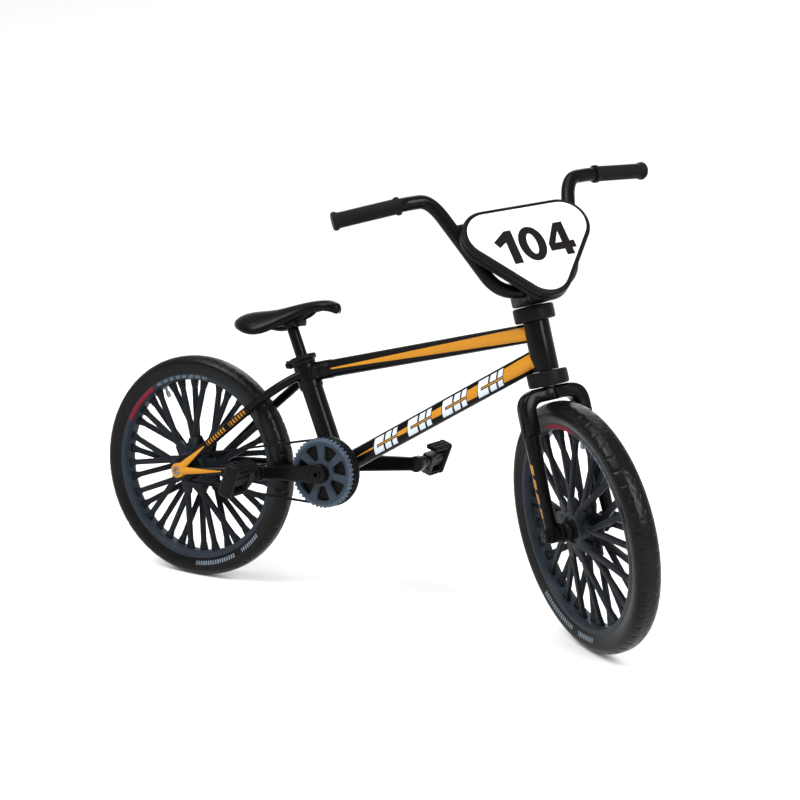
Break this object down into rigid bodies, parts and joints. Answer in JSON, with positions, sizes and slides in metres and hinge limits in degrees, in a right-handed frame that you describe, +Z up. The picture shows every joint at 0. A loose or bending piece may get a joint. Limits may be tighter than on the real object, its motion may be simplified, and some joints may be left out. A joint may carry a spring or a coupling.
{
  "type": "miniature bmx bicycle",
  "caption": "Finger-size BMX race bicycle with steering fork and bars, rolling moulded wheels, turning cranks and pedals, a number plate and a height-adjustable saddle.",
  "frame": {"origin": "the rear tyre's contact with the ground", "axes": "+X forwards along the bike, +Y to the rider's left, +Z up, with the steering turned towards the rider's right at rest"},
  "size_m": [0.1376, 0.0545, 0.0961],
  "materials": {
    "black_paint": "glossy black paint with a faint orange peel",
    "gold_paint": "satin gold-ochre paint",
    "black_plastic": "satin black moulded plastic",
    "saddle_plastic": "glossy black moulded plastic",
    "plate_white": "white printed label on plastic",
    "tyre_rubber": "satin black moulded rubber",
    "grip_rubber": "ribbed black rubber",
    "elastic_chain": "thin black elastic link chain",
    "wheel_plastic": "dark blue-grey moulded plastic",
    "sprocket_plastic": "blue-grey moulded plastic",
    "bare_steel": "plain bright steel"
  },
  "bodies": {
    "frame": {"head_tube": "black_paint", "lower_headset_cup": "black_plastic", "upper_headset_cup": "black_plastic", "bottom_bracket_shell": "black_paint", "seat_tube": "black_paint", "top_tube": "black_paint", "down_tube": "black_paint", "seat_stay_right": "black_paint", "seat_stay_left": "black_paint", "chain_stay_right": "black_paint", "chain_stay_left": "black_paint", "chain_stay_bridge": "black_paint", "dropout_right": "gold_paint", "dropout_left": "gold_paint", "rear_axle": "bare_steel", "seat_collar": "black_plastic", "chain": "elastic_chain"},
    "seat": {"seat_post": "black_paint", "saddle_clamp": "black_paint", "saddle": "saddle_plastic"},
    "rear_wheel": {"rear_tyre": "tyre_rubber", "rear_wheel": "wheel_plastic", "rear_valve": "bare_steel", "rear_cog": "black_plastic"},
    "steering": {"fork_crown": "black_paint", "steerer": "bare_steel", "fork_leg_right": "black_paint", "fork_leg_left": "black_paint", "front_hub_spacer_right": "black_plastic", "front_hub_spacer_left": "black_plastic", "front_axle_nut_right": "black_plastic", "front_axle_nut_left": "black_plastic", "front_axle": "bare_steel", "handlebar": "black_paint", "crossbar": "black_paint", "grip_right": "grip_rubber", "grip_left": "grip_rubber", "stem": "black_plastic", "stem_faceplate": "black_plastic", "headset_top_cap": "black_plastic", "number_plate_back": "black_plastic", "number_plate_face": "plate_white", "plate_clip_right": "black_plastic", "plate_clip_left": "black_plastic"},
    "front_wheel": {"front_tyre": "tyre_rubber", "front_wheel": "wheel_plastic", "front_valve": "bare_steel"},
    "cranks": {"crank_spindle": "bare_steel", "chain_drum": "black_plastic", "sprocket": "sprocket_plastic", "crank_arm_right": "black_paint", "crank_arm_left": "black_paint", "crank_bolt_right": "bare_steel", "crank_bolt_left": "bare_steel", "pedal_axle_right": "bare_steel", "pedal_axle_left": "bare_steel"},
    "pedal_right": {"pedal_right": "black_plastic"},
    "pedal_left": {"pedal_left": "black_plastic"}
  },
  "joints": [
    {"name": "steering", "type": "hinge", "parent": "frame", "child": "steering", "pos_m": [0.08179, 0, 0.05833], "axis": [-0.284, 0, 0.9588], "continuous": true},
    {"name": "front_wheel_spin", "type": "hinge", "parent": "steering", "child": "front_wheel", "pos_m": [0.09236, -0.00052, 0.02479], "axis": [0.6259, 0.7576, 0.1854], "continuous": true},
    {"name": "rear_wheel_spin", "type": "hinge", "parent": "frame", "child": "rear_wheel", "pos_m": [0, 0, 0.025], "axis": [0, 1, 0], "continuous": true},
    {"name": "crank_spin", "type": "hinge", "parent": "frame", "child": "cranks", "pos_m": [0.0368, 0, 0.0291], "axis": [0, 1, 0], "continuous": true},
    {"name": "pedal_right_spin", "type": "hinge", "parent": "cranks", "child": "pedal_right", "pos_m": [0.02209, 0, 0.02748], "axis": [0, 1, 0], "continuous": true},
    {"name": "pedal_left_spin", "type": "hinge", "parent": "cranks", "child": "pedal_left", "pos_m": [0.05151, 0, 0.03072], "axis": [0, 1, 0], "continuous": true},
    {"name": "seat_height", "type": "slide", "parent": "frame", "child": "seat", "axis": [-0.4019, 0, 0.9157], "range_m": [-0.005, 0.003]}
  ],
  "couplings": [
    {"joint": "crank_spin", "follows": "rear_wheel_spin", "ratio": 0.3901}
  ]
}
